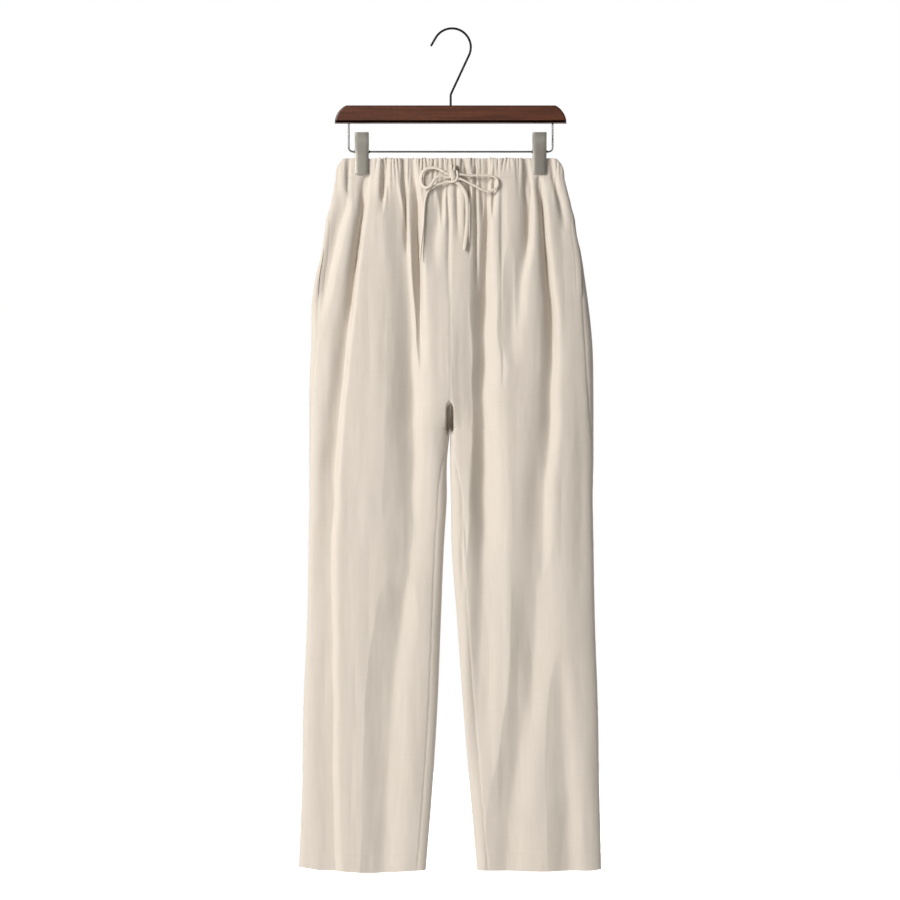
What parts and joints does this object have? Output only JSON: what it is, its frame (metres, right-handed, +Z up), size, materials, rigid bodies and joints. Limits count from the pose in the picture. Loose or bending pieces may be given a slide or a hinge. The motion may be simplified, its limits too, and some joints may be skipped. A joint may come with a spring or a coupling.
{
  "type": "linen drawstring trousers on a clip hanger",
  "caption": "Women's high-rise straight-leg linen trousers with an elastic casing, side pockets and a tied drawstring, hanging by the waist from a wooden clip hanger.",
  "frame": {"origin": "inside top of the hook's round bend, on the wire's middle plane, where a rail carries the hanger", "axes": "+Z up; the front of the trousers faces -Y; +X is the wearer's left, along the hanger's bar"},
  "size_m": [0.426, 0.0521, 1.1852],
  "materials": {
    "linen": "plain woven, undyed, matt",
    "drawstring": "woven cord, matt",
    "stained_wood": "walnut stain under satin lacquer",
    "hook_steel": "blackened wire",
    "rod_steel": "bright drawn wire",
    "clip_steel": "satin nickel",
    "bush_rubber": "moulded"
  },
  "bodies": {
    "root": {"front_right": "linen", "front_left": "linen", "back_right": "linen", "back_left": "linen", "waistband": "linen", "pocket_right": "linen", "pocket_left": "linen", "drawstring_strand_right": "drawstring", "drawstring_strand_left": "drawstring", "drawstring_loop_right": "drawstring", "drawstring_loop_left": "drawstring", "drawstring_tail_right": "drawstring", "drawstring_tail_left": "drawstring", "drawstring_knot": "drawstring", "hanger_bar": "stained_wood", "hanger_hook": "hook_steel", "hanger_rod": "rod_steel", "clip_front_right": "clip_steel", "clip_back_right": "clip_steel", "clip_bush_right": "bush_rubber", "clip_front_left": "clip_steel", "clip_back_left": "clip_steel", "clip_bush_left": "bush_rubber"}
  },
  "joints": []
}
